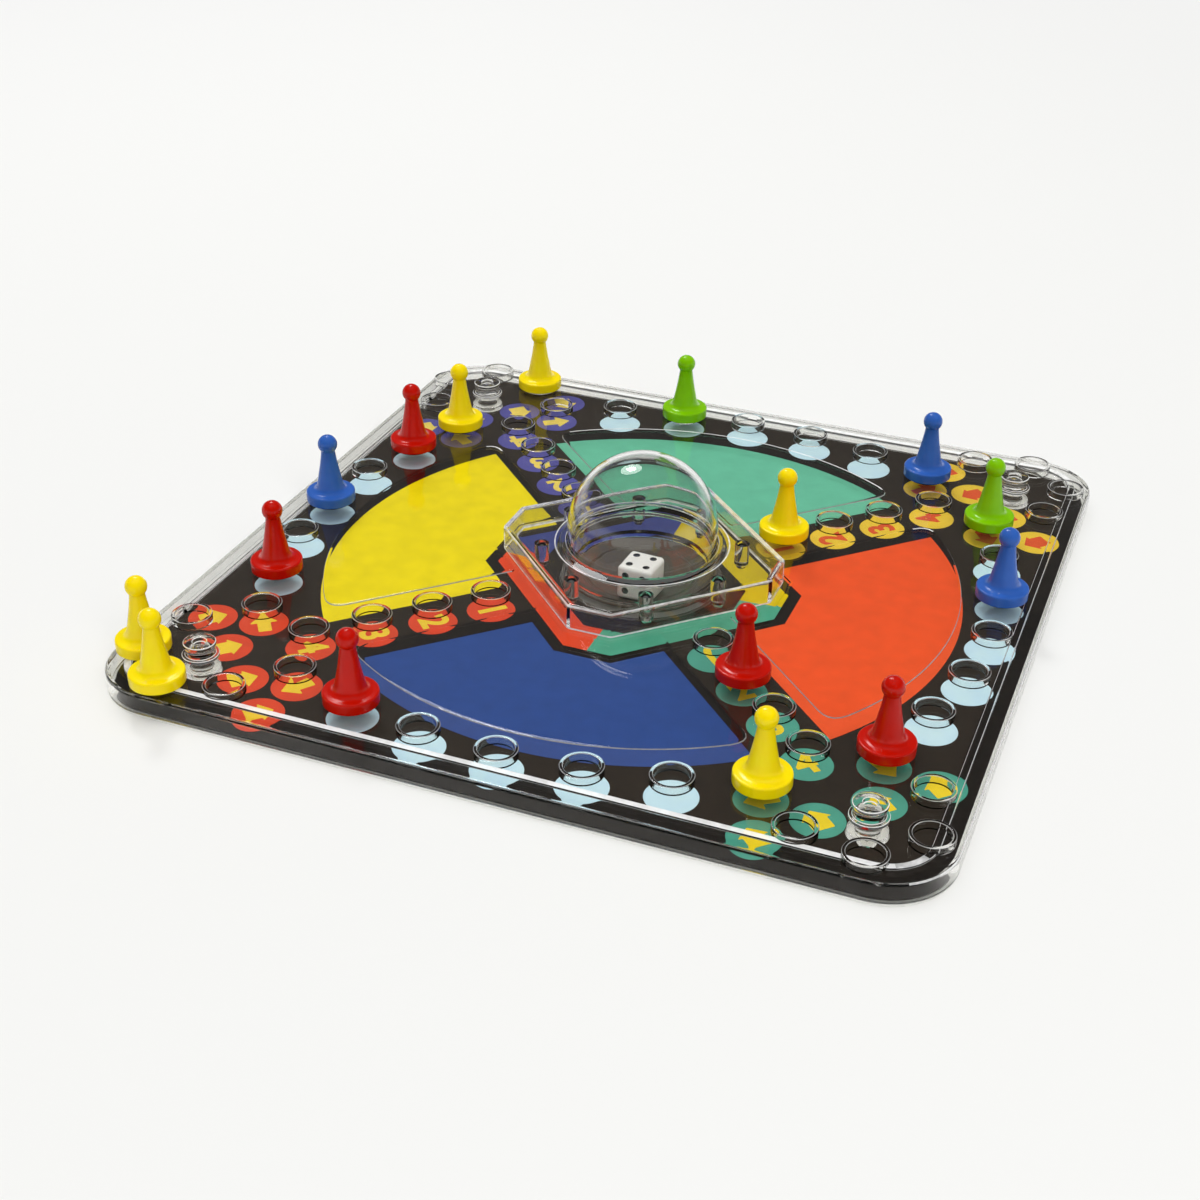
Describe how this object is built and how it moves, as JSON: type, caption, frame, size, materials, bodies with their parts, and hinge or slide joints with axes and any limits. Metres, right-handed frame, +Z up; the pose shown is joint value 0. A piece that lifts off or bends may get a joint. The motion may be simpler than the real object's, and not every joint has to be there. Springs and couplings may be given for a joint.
{
  "type": "pop-up board game",
  "caption": "Square race board under a clear shell with collared spaces, a press-down die bubble in the middle and coloured pegs standing on it.",
  "frame": {"origin": "middle of the board's underside, on the table", "axes": "+Z up out of the board, -Y towards the near side, +X to the right seen from it"},
  "size_m": [0.26, 0.26, 0.0473],
  "materials": {
    "clear_plastic": "clear, polished mould finish",
    "printed_board": "printed sheet, satin varnish",
    "dark_plastic": "fine mould finish",
    "spring_steel": "rolled strip, plain",
    "lacquered_plate": "satin lacquer",
    "white_plastic": "polished mould finish",
    "yellow_plastic": "polished mould finish",
    "red_plastic": "polished mould finish",
    "blue_plastic": "polished mould finish",
    "green_plastic": "polished mould finish"
  },
  "bodies": {
    "board": {"base_plate": "clear_plastic", "printed_card": "printed_board", "board_shell": "clear_plastic", "popper_housing": "clear_plastic", "spring_cradle": "dark_plastic", "snap_spring": "spring_steel", "corner_post_1": "clear_plastic", "corner_post_2": "clear_plastic", "corner_post_3": "clear_plastic", "corner_post_4": "clear_plastic"},
    "popper": {"dome": "clear_plastic", "die_plate": "lacquered_plate"},
    "die": {"die": "white_plastic"},
    "yellow_peg_1": {"yellow_peg_1": "yellow_plastic"},
    "yellow_peg_2": {"yellow_peg_2": "yellow_plastic"},
    "yellow_peg_3": {"yellow_peg_3": "yellow_plastic"},
    "yellow_peg_4": {"yellow_peg_4": "yellow_plastic"},
    "yellow_peg_5": {"yellow_peg_5": "yellow_plastic"},
    "yellow_peg_6": {"yellow_peg_6": "yellow_plastic"},
    "red_peg_1": {"red_peg_1": "red_plastic"},
    "red_peg_2": {"red_peg_2": "red_plastic"},
    "red_peg_3": {"red_peg_3": "red_plastic"},
    "red_peg_4": {"red_peg_4": "red_plastic"},
    "red_peg_5": {"red_peg_5": "red_plastic"},
    "blue_peg_1": {"blue_peg_1": "blue_plastic"},
    "blue_peg_2": {"blue_peg_2": "blue_plastic"},
    "blue_peg_3": {"blue_peg_3": "blue_plastic"},
    "green_peg_1": {"green_peg_1": "green_plastic"},
    "green_peg_2": {"green_peg_2": "green_plastic"}
  },
  "joints": [
    {"name": "dome_press", "type": "slide", "parent": "board", "child": "popper", "axis": [0, 0, -1], "range_m": [0, 0.002], "stiffness_N_per_m": 1500, "springref_m": -0.001, "deforming": ["snap_spring"]},
    {"name": "die_hop", "type": "slide", "parent": "popper", "child": "die", "axis": [0, 0, 1], "range_m": [0, 0.012]},
    {"name": "yellow_peg_1_lift", "type": "slide", "parent": "board", "child": "yellow_peg_1", "axis": [0, 0, 1], "range_m": [0, 0.035]},
    {"name": "yellow_peg_2_lift", "type": "slide", "parent": "board", "child": "yellow_peg_2", "axis": [0, 0, 1], "range_m": [0, 0.035]},
    {"name": "yellow_peg_3_lift", "type": "slide", "parent": "board", "child": "yellow_peg_3", "axis": [0, 0, 1], "range_m": [0, 0.035]},
    {"name": "yellow_peg_4_lift", "type": "slide", "parent": "board", "child": "yellow_peg_4", "axis": [0, 0, 1], "range_m": [0, 0.035]},
    {"name": "yellow_peg_5_lift", "type": "slide", "parent": "board", "child": "yellow_peg_5", "axis": [0, 0, 1], "range_m": [0, 0.035]},
    {"name": "yellow_peg_6_lift", "type": "slide", "parent": "board", "child": "yellow_peg_6", "axis": [0, 0, 1], "range_m": [0, 0.035]},
    {"name": "red_peg_1_lift", "type": "slide", "parent": "board", "child": "red_peg_1", "axis": [0, 0, 1], "range_m": [0, 0.035]},
    {"name": "red_peg_2_lift", "type": "slide", "parent": "board", "child": "red_peg_2", "axis": [0, 0, 1], "range_m": [0, 0.035]},
    {"name": "red_peg_3_lift", "type": "slide", "parent": "board", "child": "red_peg_3", "axis": [0, 0, 1], "range_m": [0, 0.035]},
    {"name": "red_peg_4_lift", "type": "slide", "parent": "board", "child": "red_peg_4", "axis": [0, 0, 1], "range_m": [0, 0.035]},
    {"name": "red_peg_5_lift", "type": "slide", "parent": "board", "child": "red_peg_5", "axis": [0, 0, 1], "range_m": [0, 0.035]},
    {"name": "blue_peg_1_lift", "type": "slide", "parent": "board", "child": "blue_peg_1", "axis": [0, 0, 1], "range_m": [0, 0.035]},
    {"name": "blue_peg_2_lift", "type": "slide", "parent": "board", "child": "blue_peg_2", "axis": [0, 0, 1], "range_m": [0, 0.035]},
    {"name": "blue_peg_3_lift", "type": "slide", "parent": "board", "child": "blue_peg_3", "axis": [0, 0, 1], "range_m": [0, 0.035]},
    {"name": "green_peg_1_lift", "type": "slide", "parent": "board", "child": "green_peg_1", "axis": [0, 0, 1], "range_m": [0, 0.035]},
    {"name": "green_peg_2_lift", "type": "slide", "parent": "board", "child": "green_peg_2", "axis": [0, 0, 1], "range_m": [0, 0.035]}
  ]
}
